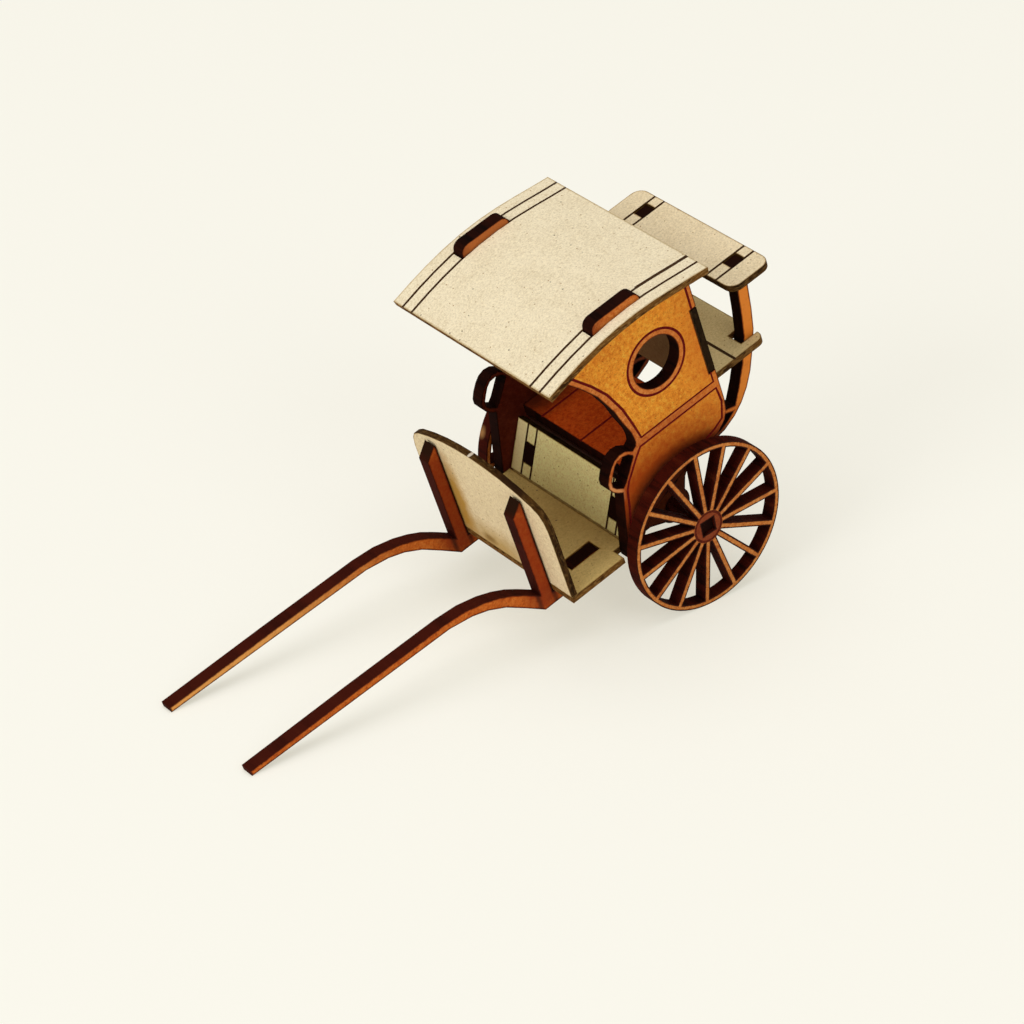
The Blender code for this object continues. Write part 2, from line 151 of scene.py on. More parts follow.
# A noise is given as scale, detail, roughness and offset. A layer is given as a noise, its values where the layer
# starts and is full, the layer's share there, and the tone. Specks are given as scale, size, share of the cells,
# offset and tone. Shades are shares of the sheet's own colour.
brightestTone = 0.92
surfaceLook = {
    "fibre": {
        "shades": {"deep": (0.66, 0.46, 0.40), "pale": (1.16, 1.55, 2.1)}, "brightest": 0.9,
        "flecks": {"fleck": (0.20, 0.035, 0.004)},
        "noises": {"cloud": (0.18, 3, 0.55, 3), "grain": (1.6, 6, 0.68, 11), "fine": (5.0, 3, 0.6, 23),
                   "patch": (0.55, 3, 0.6, 19)},
        "layers": (("cloud", 0.44, 0.70, 0.50, "deep"), ("patch", 0.52, 0.68, 0.24, "pale"),
                   ("patch", 0.46, 0.32, 0.24, "deep"), ("grain", 0.50, 0.66, 0.9, "pale"),
                   ("grain", 0.48, 0.32, 0.9, "deep"), ("fine", 0.56, 0.70, 0.6, "fleck"),
                   ("fine", 0.44, 0.30, 0.5, "pale")),
        "specks": ((1.9, 0.17, 0.40, 5, "fleck"),),
        "height": "grain", "fineHeight": 0.6, "roughness": 0.65, "bump": 0.000012, "gloss": 0.05,
        "edge": {"tint": (0.42, 0.26, 0.22), "rim": (0.022, 0.005, 0.002)},
    },
    "card": {
        "shades": {"deep": (0.76, 0.70, 0.60), "pale": (1.14, 1.14, 1.14)}, "brightest": brightestTone,
        "flecks": {"fleck": (0.14, 0.10, 0.06), "brownFleck": (0.34, 0.19, 0.075)},
        "noises": {"cloud": (0.22, 3, 0.5, 7), "pulp": (3.4, 6, 0.74, 13), "fine": (6.5, 2, 0.6, 29)},
        "layers": (("cloud", 0.44, 0.70, 0.25, "deep"), ("pulp", 0.50, 0.62, 0.9, "pale"),
                   ("pulp", 0.48, 0.34, 0.9, "deep"), ("fine", 0.60, 0.72, 0.36, "fleck")),
        "lateSpecks": ((1.5, 0.20, 0.22, 17, "brownFleck"), (0.9, 0.14, 0.12, 5, "fleck")),
        "height": "pulp", "fineHeight": 0.5, "roughness": 0.88, "bump": 0.00001, "gloss": 0.06,
        "edge": {"tint": (0.74, 0.62, 0.44), "rim": (0.17, 0.09, 0.026)},
    },
    # Laser marks run through the board's thickness, so the pattern is stretched along it.
    "char": {
        "stretch": (1, 1, 0.12), "noises": {"marks": (6.0, 3, 0.6, 2), "patches": (0.7, 4, 0.6, 31)},
        "layers": (("patches", 0.36, 0.52, 1.0, "base"), ("patches", 0.58, 0.78, 0.6, "high"),
                   ("marks", 0.60, 0.76, 0.3, "high")),
        "height": "marks", "roughness": 0.8, "bump": 0.00002, "gloss": 0.03,
    },
    # Pressed layers lie along the card, so the pattern is drawn out along the edge.
    "cardEdge": {
        "stretch": (0.25, 0.25, 1), "noises": {"plies": (5.0, 3, 0.6, 2), "patches": (1.3, 4, 0.6, 19)},
        "layers": (("patches", 0.36, 0.54, 1.0, "base"), ("plies", 0.50, 0.66, 0.7, "high")),
        "height": "plies", "roughness": 0.88, "bump": 0.00002, "gloss": 0.06,
    },
    "line": {
        "noises": {"soot": (3.5, 3, 0.6, 9)}, "layers": (("soot", 0.42, 0.70, 1.0, "bright"),), "bright": 1.8,
        "height": "soot", "roughness": 0.8, "bump": 0.00001, "gloss": 0.03,
    },
    "glue": {
        "noises": {"lumps": (0.9, 3, 0.5, 0)}, "layers": (("lumps", 0.40, 0.65, 1.0, "bright"),), "bright": 1.6,
        "height": "lumps", "roughness": 0.5, "bump": 0.00003, "gloss": 0.1,
    },
}
surfaceLook["evenChar"] = {**surfaceLook["char"],
                           "noises": {**surfaceLook["char"]["noises"], "patches": (0.28, 4, 0.6, 31)}}
edgeTones = {
    "black": {"start": (0.005, 0.0013, 0.0007), "base": (0.015, 0.0028, 0.0012), "high": (0.050, 0.008, 0.003)},
    "rim": {"start": (0.016, 0.0022, 0.0010), "base": (0.048, 0.0048, 0.0018), "high": (0.130, 0.024, 0.007)},
    "maroon": {"start": (0.030, 0.0042, 0.0018), "base": (0.048, 0.0062, 0.0025), "high": (0.072, 0.012, 0.004)},
    "card": {"start": (0.035, 0.012, 0.002), "base": (0.155, 0.064, 0.012), "high": (0.34, 0.18, 0.050)},
}
lineColours = {"fibre": (0.115, 0.006, 0.005), "hub": (0.10, 0.015, 0.006), "card": (0.045, 0.022, 0.010)}
sheetScorch = {"board": 0.8, "card": 0.7}
speckShape = {"core": 0.45, "step": 0.02}
stainAndPaintedLightLook = {"noise": (0.8, 4, 0.6, 41), "uneven": 0.5, "fade": (1.15, 0.3)}
scorchLook = {"noise": (1.4, 4, 0.65), "offset": 37, "uneven": 0.9, "tint": (0.50, 0.95), "tintShift": 0.2,
              "rim": (0.90, 1.28)}


def toned(base, shares, brightest=brightestTone):
    return tuple(min(brightest, value * share) for value, share in zip(base, shares))


def startMaterial(name, turn, stretch):
    # Coordinates in millimetres, turned so that their Z runs through the sheet's thickness.
    material = bpy.data.materials.new(name)
    material.use_nodes = True
    tree = material.node_tree
    shader = tree.nodes["Principled BSDF"]
    place = addNode(tree, "ShaderNodeTexCoord").outputs["Object"]
    scale = [share / mm for share in stretch]
    turned = addNode(tree, "ShaderNodeMapping", {"Vector": place, "Rotation": turn}).outputs["Vector"]
    coords = addNode(tree, "ShaderNodeMapping", {"Vector": turned, "Scale": scale}).outputs["Vector"]
    return material, tree, shader, coords


def shifted(tree, coords, offset):
    inputs = {"Vector": coords, "Location": (offset, offset, offset)}
    return addNode(tree, "ShaderNodeMapping", inputs).outputs["Vector"]


def noise(tree, coords, scale, detail, roughness, offset):
    inputs = {"Vector": shifted(tree, coords, offset), "Scale": scale, "Detail": detail, "Roughness": roughness}
    return addNode(tree, "ShaderNodeTexNoise", inputs).outputs["Fac"]


def between(tree, value, low, high, top=1.0):
    inputs = {"Value": value, "From Min": low, "From Max": high, "To Min": 0.0, "To Max": top}
    return addNode(tree, "ShaderNodeMapRange", inputs).outputs["Result"]


def blendColour(tree, amount, first, second, way="MIX"):
    # Sockets 0, 6 and 7 take the share and the two colours, and output 2 gives the mixed colour.
    inputs = {0: amount}
    for index, value in ((6, first), (7, second)):
        inputs[index] = value if isinstance(value, bpy.types.NodeSocket) else (*value, 1)
    return addNode(tree, "ShaderNodeMix", inputs, data_type="RGBA", blend_type=way).outputs[2]


def addNumbers(tree, first, second, share):
    return calculate(tree, "ADD", first, calculate(tree, "MULTIPLY", second, share))


def addSpecks(tree, coords, colour, specks, tones, seed):
    # Small round spots: only the cells whose random number is high enough carry one.
    for scale, size, share, offset, tone in specks:
        moved = shifted(tree, coords, seed + offset)
        cells = addNode(tree, "ShaderNodeTexVoronoi", {"Vector": moved, "Scale": scale})
        spot = between(tree, cells.outputs["Distance"], size, size * speckShape["core"])
        pick = addNode(tree, "ShaderNodeSeparateColor", {"Color": cells.outputs["Color"]}).outputs["Red"]
        chosen = between(tree, pick, 1 - share, 1 - share + speckShape["step"])
        colour = blendColour(tree, calculate(tree, "MULTIPLY", spot, chosen), colour, tones[tone])
    return colour


def stainAndPaintedLightColour(tree, coords, colour, stainAndPaintedLight):
    # Real stains, painted shade and painted light each lie about a place on the cab. The fade gives the shares of the
    # reach where each starts and is full.
    place = addNode(tree, "ShaderNodeTexCoord").outputs["Object"]
    near = addNode(tree, "ShaderNodeMapping", {"Vector": place, "Location": -onCab(*stainAndPaintedLight["centre"])})
    level = addNode(tree, "ShaderNodeMapping", {"Vector": near.outputs[0], "Rotation": (0, -stance["pitch"], 0)})
    reach = [1 / (mm * size) for size in stainAndPaintedLight["reach"]]
    sized = addNode(tree, "ShaderNodeMapping", {"Vector": level.outputs[0], "Scale": reach})
    distance = addNode(tree, "ShaderNodeVectorMath", {0: sized.outputs[0]}, operation="LENGTH")
    uneven = stainAndPaintedLight.get("uneven", stainAndPaintedLightLook["uneven"])
    ragged = addNumbers(tree, distance.outputs["Value"], noise(tree, coords, *stainAndPaintedLightLook["noise"]), uneven)
    start, full = [share + uneven / 2 for share in stainAndPaintedLight.get("fade", stainAndPaintedLightLook["fade"])]
    return blendColour(tree, between(tree, ragged, start, full, stainAndPaintedLight["strength"]), colour, stainAndPaintedLight["colour"])


def edgeScorch(tree, coords, colour, tones, strength, seed):
    # The laser browned a narrow strip of each face along its cut edges, marked by the piece's own attribute.
    # A strength above 1 carries the dark rim further in.
    strip = addNode(tree, "ShaderNodeAttribute", attribute_type="GEOMETRY", attribute_name="scorch").outputs["Fac"]
    uneven = noise(tree, coords, *scorchLook["noise"], seed + scorchLook["offset"])
    ragged = addNumbers(tree, strip, uneven, scorchLook["uneven"])
    full = min(1.0, strength)
    early = strength - full
    tint = between(tree, ragged, *[value - early * scorchLook["tintShift"] for value in scorchLook["tint"]], full)
    rim = between(tree, ragged, *[value - early for value in scorchLook["rim"]], full)
    return blendColour(tree, rim, blendColour(tree, tint, colour, tones["tint"], "MULTIPLY"), tones["rim"])


def makeSurface(kind, name, tones, turn, seed=0, stainsAndPaintedLight=(), scorch=0):
    look = surfaceLook[kind]
    material, tree, shader, coords = startMaterial(name, turn, look.get("stretch", (1, 1, 1)))
    noises = {key: noise(tree, coords, scale, detail, roughness, seed + offset)
              for key, (scale, detail, roughness, offset) in look["noises"].items()}
    colour = tones["start"]
    for key, low, high, top, tone in look["layers"]:
        colour = blendColour(tree, between(tree, noises[key], low, high, top), colour, tones[tone])
    colour = addSpecks(tree, coords, colour, look.get("specks", ()), tones, seed)
    for stainAndPaintedLight in stainsAndPaintedLight:
        colour = stainAndPaintedLightColour(tree, coords, colour, stainAndPaintedLight)
    colour = addSpecks(tree, coords, colour, look.get("lateSpecks", ()), tones, seed)
    if scorch:
        colour = edgeScorch(tree, coords, colour, look["edge"], scorch, seed)
    height = noises[look["height"]]
    if "fineHeight" in look:
        height = addNumbers(tree, height, noises["fine"], look["fineHeight"])
    relief = addNode(tree, "ShaderNodeBump", {"Height": height, "Strength": 1.0, "Distance": look["bump"]})
    tree.links.new(relief.outputs["Normal"], shader.inputs["Normal"])
    tree.links.new(colour, shader.inputs["Base Color"])
    shader.inputs["Specular IOR Level"].default_value = look["gloss"]
    shader.inputs["Roughness"].default_value = look["roughness"]
    return material


def sheetFace(kind, name, base, turn, seed, stainsAndPaintedLight, scorch):
    look = surfaceLook[kind]
    shades = {tone: toned(base, shares, look["brightest"]) for tone, shares in look["shades"].items()}
    return makeSurface(kind, name, {"start": base, **look["flecks"], **shades}, turn, seed, stainsAndPaintedLight, scorch)


def fibreFace(name, base, turn, seed, stainsAndPaintedLight=(), scorch=sheetScorch["board"]):
    return sheetFace("fibre", name, base, turn, seed, stainsAndPaintedLight, scorch)


def charredEdge(name, tone, turn, seed, stainsAndPaintedLight=()):
    kind = "evenChar" if tone == "maroon" else "char"
    return makeSurface(kind, name, edgeTones[tone], turn, seed, stainsAndPaintedLight)


def cardEdge(name, turn, seed, share, stainsAndPaintedLight):
    tones = {key: toned(value, (share, share, share)) for key, value in edgeTones["card"].items()}
    return makeSurface("cardEdge", name, tones, turn, seed, stainsAndPaintedLight)


def twoToned(kind, name, colour, turn, seed=0):
    bright = surfaceLook[kind]["bright"]
    return makeSurface(kind, name, {"start": colour, "bright": toned(colour, (bright, bright, bright))}, turn, seed)


# Plates: a cleaned copy of each sheet, with broken edges and engraved lines.

throughY = (math.radians(90), 0, 0)
throughUp = (0, -stance["pitch"], 0)
throughAhead = (0, -stance["pitch"] - math.radians(90), 0)
sides = (("left", 1, 0), ("right", -1, 50))  # name, direction and what is added to the seeds

plateWork = {"chamfer": 0.045 * mm, "line": 0.27 * mm, "lift": 0.18 * mm, "merge": 0.0005 * mm, "faceShare": 0.8,
             "leastStrip": 0.06 * mm, "areaSlack": 0.0005, "stripShrink": 0.8, "dissolve": math.radians(0.5),
             "sharp": math.radians(25), "roundness": 2}
sheetStrips = {"board": 0.2, "card": 0.22}
lineOverrun = 0.3  # past the card's edges, in mm like the strips


def cleanCopy(nodeName, pieceName):
    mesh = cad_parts[nodeName].data.copy()
    mesh.name = pieceName
    mesh.materials.clear()
    # The frame's stored normals and maps belong to the plain solid.
    for name in [layer.name for layer in mesh.attributes if layer.name == "custom_normal"]:
        mesh.attributes.remove(mesh.attributes[name])
    for layer in list(mesh.uv_layers):
        mesh.uv_layers.remove(layer)
    piece = bpy.data.objects.new(pieceName, mesh)
    bpy.context.scene.collection.objects.link(piece)
    work = bmesh.new()
    work.from_mesh(mesh)
    bmesh.ops.remove_doubles(work, verts=work.verts, dist=plateWork["merge"])
    bmesh.ops.dissolve_limit(work, angle_limit=plateWork["dissolve"], verts=work.verts, edges=work.edges)
    for face in work.faces:
        face.smooth = True
    work.to_mesh(mesh)
    work.free()
    return piece


def setStrip(work, outward, width):
    # Moves a copy of each outline in by the width and fills what it encloses. It fails where an outline would cross
    # itself, which shows as more area than before.
    flat = [face for face in work.faces if face.material_index != 1 and face.normal.dot(outward) > 0]
    if not flat:
        return True
    slot = flat[0].material_index
    before = sum(face.calc_area() for face in flat)
    inward = {}
    outline = []
    for face in flat:
        for loop in face.loops:
            if all(other.material_index != 1 for other in loop.edge.link_faces):
                continue
            outline.append(loop.edge)
            along = (loop.link_loop_next.vert.co - loop.vert.co).normalized()
            for vert in loop.edge.verts:
                inward.setdefault(vert.index, []).append(face.normal.cross(along))
    work.verts.ensure_lookup_table()
    moves = {index: (first + second) / (1 + first.dot(second)) * width for index, (first, second) in inward.items()}
    outlineVerts = [work.verts[index] for index in inward]
    bmesh.ops.delete(work, geom=flat, context="FACES")
    made = bmesh.ops.extrude_edge_only(work, edges=outline)["geom"]
    strips = [item for item in made if isinstance(item, bmesh.types.BMFace)]
    fresh = {item for item in made if isinstance(item, bmesh.types.BMVert)}
    for vert in outlineVerts:
        for edge in vert.link_edges:
            if edge.other_vert(vert) in fresh:
                edge.other_vert(vert).co = vert.co + moves[vert.index]
    rails = [item for item in made if isinstance(item, bmesh.types.BMEdge) and fresh.issuperset(item.verts)]
    filled = bmesh.ops.triangle_fill(work, edges=rails, use_beauty=True, normal=outward)["geom"]
    faces = strips + [item for item in filled if isinstance(item, bmesh.types.BMFace)]
    for face in faces:
        face.normal_update()
        if face.normal.dot(outward) < 0:
            face.normal_flip()
        face.material_index = slot
        face.smooth = True
    after = sum(face.calc_area() for face in faces)
    return abs(after / before - 1) < plateWork["areaSlack"]


def breakEdges(piece, through, ownBack, strip):
    # Slot 0 is the sheet's face, slot 1 its cut edge with a narrow chamfer, slot 2 a back with its own material,
    # which on the panels is dark partly from painted shade.
    # A strip of the given width is then set into each face along its edges, for the scorch to fade over.
    work = bmesh.new()
    work.from_mesh(piece.data)
    work.normal_update()
    for face in work.faces:
        along = face.normal.dot(through)
        flat = abs(along) > plateWork["faceShare"]
        face.material_index = 1 if not flat else 2 if ownBack and along < 0 else 0
    sharp = [edge for edge in work.edges if len(edge.link_faces) == 2
             and edge.link_faces[0].material_index != edge.link_faces[1].material_index]
    made = bmesh.ops.bevel(work, geom=sharp, offset=plateWork["chamfer"], offset_type="OFFSET", segments=1,
                           profile=0.5, affect="EDGES", material=-1, clamp_overlap=True)
    for face in made["faces"]:
        face.material_index = 1
    work.normal_update()
    work.verts.index_update()
    done = []
    for outward in (through, -through):
        width = strip
        while width > plateWork["leastStrip"]:
            trial = work.copy()
            if setStrip(trial, outward, width):
                work.free()
                work = trial
                done.append((outward, width))
                break
            trial.free()
            width *= plateWork["stripShrink"]
    work.to_mesh(piece.data)
    work.free()
    return done


def lineCutter(name, points, closed):
    curve = bpy.data.curves.new(name, "CURVE")
    curve.dimensions = "3D"
    curve.bevel_depth = plateWork["line"]
    curve.bevel_resolution = plateWork["roundness"]
    curve.use_fill_caps = not closed
    spline = curve.splines.new("POLY")
    spline.points.add(len(points) - 1)
    for point, place in zip(spline.points, points):
        point.co = (*place, 1)
    spline.use_cyclic_u = closed
    holder = bpy.data.objects.new(name, curve)
    mesh = bpy.data.meshes.new_from_object(holder)
    bpy.data.objects.remove(holder, do_unlink=True)
    bpy.data.curves.remove(curve)
    work = bmesh.new()
    work.from_mesh(mesh)
    bmesh.ops.remove_doubles(work, verts=work.verts, dist=plateWork["merge"])
    bmesh.ops.recalc_face_normals(work, faces=work.faces)
    work.to_mesh(mesh)
    work.free()
    cutter = bpy.data.objects.new(name, mesh)
    bpy.context.scene.collection.objects.link(cutter)
    return cutter


def engrave(piece, lines, scorch, through):
    # Each line is a shallow round-bottomed groove with the scorched material left in it.
    cutters = []
    for number, (points, closed) in enumerate(lines):
        lifted = [place + through * plateWork["lift"] for place in points]
        cutter = lineCutter(piece.name + "Line" + str(number), lifted, closed)
        cutter.data.materials.clear()
        cutter.data.materials.append(scorch)
        cut = piece.modifiers.new("line" + str(number), "BOOLEAN")
        cut.operation = "DIFFERENCE"
        cut.solver = "EXACT"
        cut.material_mode = "TRANSFER"
        cut.object = cutter
        cutters.append(cutter)
    graph = bpy.context.evaluated_depsgraph_get()
    mesh = bpy.data.meshes.new_from_object(piece.evaluated_get(graph), depsgraph=graph)
    piece.modifiers.clear()
    before = piece.data
    piece.data = mesh
    mesh.name = piece.name
    bpy.data.meshes.remove(before)
    for cutter in cutters:
        bpy.data.objects.remove(cutter, do_unlink=True)


def splitFaces(piece, stripSides):
    # The scorch attribute is 1 where a face that has a strip meets the cut edge, and 0 inside the strip.
    work = bmesh.new()
    work.from_mesh(piece.data)
    bmesh.ops.triangulate(work, faces=work.faces)
    scorch = work.loops.layers.float.new("scorch")
    rim = {corner for face in work.faces if face.material_index == 1 for corner in face.verts}
    work.normal_update()
    for face in work.faces:
        stripped = any(face.normal.dot(outward) > plateWork["faceShare"] for outward, width in stripSides)
        for loop in face.loops:
            loop[scorch] = 1.0 if stripped and loop.vert in rim else 0.0
    work.to_mesh(piece.data)
    work.free()


def circlePoints(centreX, y, centreZ, radius, count):
    points = []
    for i in range(count):
        angle = 2 * math.pi * i / count
        points.append(onCab(centreX + radius * math.cos(angle), y, centreZ + radius * math.sin(angle)))
    return points


def makePlate(nodeName, pieceName, body, through, materials, lines=(), scorch=None, strip=sheetStrips["board"]):
    piece = cleanCopy(nodeName, pieceName)
    stripSides = breakEdges(piece, through, len(materials) > 2, strip * mm)
    for material in materials:
        piece.data.materials.append(material)
    if lines:
        engrave(piece, lines, scorch, through)
    splitFaces(piece, stripSides)
    piece.data.set_sharp_from_angle(angle=plateWork["sharp"])
    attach(piece, body)
    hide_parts(nodeName)
    widths = [round(width / mm, 2) for outward, width in stripSides]
    print(pieceName, "has", len(piece.data.polygons), "faces, scorched strips in mm:", widths)
    return piece


scorchedFibre = twoToned("line", "scorchedFibre", lineColours["fibre"], throughY)
scorchedHub = twoToned("line", "scorchedHub", lineColours["hub"], throughY)
scorchedCard = twoToned("line", "scorchedCard", lineColours["card"], throughUp)
wide = 1000  # a stain's reach in a direction in which it never fades

uprightBorders = tuple(
    {"centre": (x, 0, 8.0), "reach": (0.50, wide, 15.0), "fade": (1.15, 0.4), "strength": 0.85,
     "colour": (0.050, 0.010, 0.004)} for x in (22.0, 24.6))
framePlates = {
    "base": (0.58, 0.122, 0.013), "strip": 0.3, "scorch": 0.85, "innerSeed": 4,
    "stainsAndPaintedLight": (
        # Painted shade: the outer face goes dark about the axle, where it lies in the wheel's shade.
        {"centre": (0, 0, 0), "reach": (13.0, wide, 13.0), "fade": (1.15, 0.9), "strength": 0.93, "uneven": 0.3,
         "colour": (0.075, 0.013, 0.004)},
        # Painted shade: darker and redder about the upright by the dash, where the cab's front closes it in.
        {"centre": (23.3, 0, 8.5), "reach": (3.4, wide, 9.5), "fade": (1.3, 0.8), "strength": 0.8, "uneven": 0.3,
         "colour": (0.25, 0.026, 0.005)},
        # Painted light: paler orange on the struts, where light falls on them.
        {"centre": (-19.0, 0, 18.0), "reach": (9.0, wide, 14.0), "fade": (1.2, 0.8), "strength": 0.85,
         "colour": (0.88, 0.27, 0.034)},
        {"centre": (23.0, 0, 18.8), "reach": (1.5, wide, 1.6), "fade": (1.1, 0.5), "strength": 0.7,
         "colour": (0.060, 0.010, 0.004)},
        *uprightBorders,
    ),
    "inner": (0.54, 0.120, 0.014),
    "innerStainsAndPaintedLight": (
        # Painted shade: darker and redder about the upright by the dash, where the cab's front closes it in.
        {"centre": (23.3, 0, 8.5), "reach": (3.4, wide, 9.5), "fade": (1.3, 0.8), "strength": 0.8, "uneven": 0.3,
         "colour": (0.22, 0.024, 0.005)},
        # Painted shade: the inner face goes dark inside and under the cab.
        {"centre": (-8.0, 0, 18.0), "reach": (27.5, wide, 60.0), "fade": (1.06, 0.96), "strength": 0.85,
         "uneven": 0.1, "colour": (0.12, 0.020, 0.005)},
        {"centre": (74.0, 0, 9.0), "reach": (42.0, wide, 12.0), "fade": (1.0, 0.40), "strength": 0.9,
         "colour": (0.84, 0.38, 0.09)},
        *uprightBorders,
    ),
    "edgeStainsAndPaintedLight": (
        {"centre": (23.2, 0, 19.2), "reach": (2.6, wide, 3.2), "fade": (1.1, 0.5), "strength": 0.85,
         "colour": (0.014, 0.006, 0.002)},
        # Painted shade: the cut edges go dark inside and under the cab.
        {"centre": (-8.0, 0, 18.0), "reach": (27.5, wide, 60.0), "fade": (1.06, 0.96), "strength": 0.92,
         "uneven": 0.1, "colour": (0.010, 0.0026, 0.0012)},
    ),
}


def makeFrames():
    plates = framePlates
    for side, sign, seed in sides:
        face = fibreFace(side + "FrameBoard", plates["base"], throughY, seed, plates["stainsAndPaintedLight"], plates["scorch"])
        inner = fibreFace(side + "FrameInner", plates["inner"], throughY, seed + plates["innerSeed"],
                          plates["innerStainsAndPaintedLight"], plates["scorch"])
        edge = charredEdge(side + "FrameCutEdge", "maroon", throughY, seed, plates["edgeStainsAndPaintedLight"])
        makePlate("frame_" + side, side + "FramePlate", "cab", Vector((0, sign, 0)), [face, edge, inner],
                  strip=plates["strip"])


panelPlates = {
    # The back is dark maroon, partly smoke from the laser and partly painted shade of the cab's inside.
    "base": (0.86, 0.295, 0.024), "band": (0.66, 0.185, 0.032), "back": (0.10, 0.013, 0.005), "outerY": 15.0,
    "scorch": 0.75, "seed": 7, "backSeed": 8, "bandSeed": 9,
    "frontLine": ((12.3, 36.2), (11.0, 34.6), (8.8, 31.7), (7.0, 28.8), (5.5, 25.0), (4.7, 21.7), (4.1, 18.75)),
    "rearLine": ((-9.1, 18.75), (-9.2, 35.5), (-9.2, 37.2)),
    "lowerLine": ((4.7, 17.5), (-9.2, 17.5), (-9.45, 14.9), (-8.7, 12.3), (-7.1, 11.5), (-4.2, 10.6), (-0.8, 9.7),
                  (2.3, 8.9), (5.4, 7.6), (8.2, 5.6), (9.6, 4.0), (10.6, 3.9), (10.0, 6.3), (9.5, 8.3), (9.15, 9.8),
                  (8.95, 10.9), (8.65, 12.4), (8.0, 13.6), (7.05, 14.75), (5.9, 16.2)),
    "ring": (-1.60, 28.17, 4.89), "ringPoints": 72, "nearFace": 0.02,
    "backStainsAndPaintedLight": (
        # Painted light: the back is paler on the tab above the roof, out of the cab's shade.
        {"centre": (2.0, 0, 41.2), "reach": (10.0, wide, 3.0), "fade": (1.0, 0.75), "strength": 0.9, "uneven": 0.15,
         "colour": (0.52, 0.15, 0.035)},
        {"centre": (7.0, 0, 40.0), "reach": (2.2, wide, 2.6), "fade": (1.1, 0.3), "strength": 0.7,
         "colour": (0.16, 0.030, 0.010)},
    ),
    "bandStains": (
        {"centre": (10.8, 0, 13.0), "reach": (1.7, wide, 2.6), "fade": (1.1, 0.7), "strength": 0.75, "uneven": 0.2,
         "colour": (0.78, 0.33, 0.11)},
        {"centre": (6.6, 0, 40.2), "reach": (2.6, wide, 2.6), "fade": (1.1, 0.3), "strength": 0.7,
         "colour": (0.20, 0.030, 0.010)},
        {"centre": (-3.2, 0, 40.2), "reach": (1.6, wide, 2.6), "fade": (1.1, 0.3), "strength": 0.6,
         "colour": (0.20, 0.030, 0.010)},
    ),
    "stainsAndPaintedLight": (
        {"centre": (-9.5, 0, 25.0), "reach": (5.5, wide, 15.0), "fade": (1.15, 0.3), "strength": 0.6,
         "colour": (0.62, 0.15, 0.014)},
        # Partly smoke and partly painted shade of the wheel: the panel grows darker and redder towards the rim.
        {"centre": (3.2, 0, 0.5), "reach": (10.0, wide, 10.0), "fade": (2.10, 1.30), "strength": 0.95, "uneven": 0.35,
         "colour": (0.38, 0.052, 0.005)},
        # Painted shadow: a dark ring on the panel just outside the wheel's rim.
        {"centre": (0, 0, 0), "reach": (10.0, wide, 10.0), "fade": (1.42, 1.18), "strength": 0.92, "uneven": 0.12,
         "colour": (0.055, 0.009, 0.003)},
    ),
}


def insideOutline(x, z, outline):
    inside = False
    for (ax, az), (bx, bz) in zip(outline, outline[1:] + outline[:1]):
        if (az > z) != (bz > z) and x < ax + (z - az) * (bx - ax) / (bz - az):
            inside = not inside
    return inside


def markBands(piece, y, fields, bandSlot):
    # The faces outside the engraved fields are the bands, which the laser's smoke left redder.
    back = leanMatrix.inverted()
    ringX, ringZ, ringRadius = panelPlates["ring"]
    for face in piece.data.polygons:
        place = back @ face.center / mm
        if face.material_index or abs(place.y - y) > panelPlates["nearFace"]:
            continue
        inField = any(insideOutline(place.x, place.z, list(outline)) for outline in fields)
        onRing = math.hypot(place.x - ringX, place.z - ringZ) < ringRadius
        if onRing or not inField:
            face.material_index = bandSlot


def makePanels():
    plates = panelPlates
    upper = plates["frontLine"] + plates["rearLine"]
    ringX, ringZ, ringRadius = plates["ring"]
    for side, sign, seed in sides:
        y = plates["outerY"] * sign
        lines = [([onCab(x, y, z) for x, z in upper], False),
                 ([onCab(x, y, z) for x, z in plates["lowerLine"]], True),
                 (circlePoints(ringX, y, ringZ, ringRadius, plates["ringPoints"]), True)]
        face = fibreFace(side + "PanelBoard", plates["base"], throughY, seed + plates["seed"], plates["stainsAndPaintedLight"],
                         plates["scorch"])
        edge = charredEdge(side + "PanelCutEdge", "black", throughY, seed + plates["seed"])
        back = fibreFace(side + "PanelBack", plates["back"], throughY, seed + plates["backSeed"],
                         plates["backStainsAndPaintedLight"])
        piece = makePlate("side_panel_" + side, side + "PanelPlate", "cab", Vector((0, sign, 0)),
                          [face, edge, back], lines, scorchedFibre)
        piece.data.materials.append(fibreFace(side + "PanelBand", plates["band"], throughY,
                                              seed + plates["bandSeed"], plates["stainsAndPaintedLight"] + plates["bandStains"],
                                              plates["scorch"]))
        markBands(piece, y, (upper, plates["lowerLine"]), len(piece.data.materials) - 1)


wheelPlates = {
    "base": (0.62, 0.205, 0.040), "outerY": 17.7, "hubLine": 2.3, "hubPoints": 60, "strip": 0.26, "scorch": 1.22,
    "seed": 15,
    "stainsAndPaintedLight": (
        {"centre": (0, 0, 0), "reach": (2.5, wide, 2.5), "fade": (1.04, 0.90), "strength": 0.85, "uneven": 0.10,
         "colour": (0.20, 0.026, 0.009)},
    ),
    # A pale spot on the right wheel's rim.
    "edgeStainsAndPaintedLight": (
        {"centre": (10.8, -17.3, 7.4), "reach": (1.1, 0.8, 1.1), "fade": (1.15, 0.3), "strength": 0.85,
         "colour": (0.46, 0.23, 0.08)},
    ),
}
axleStrip = {"seed": 77, "endSeed": 79}


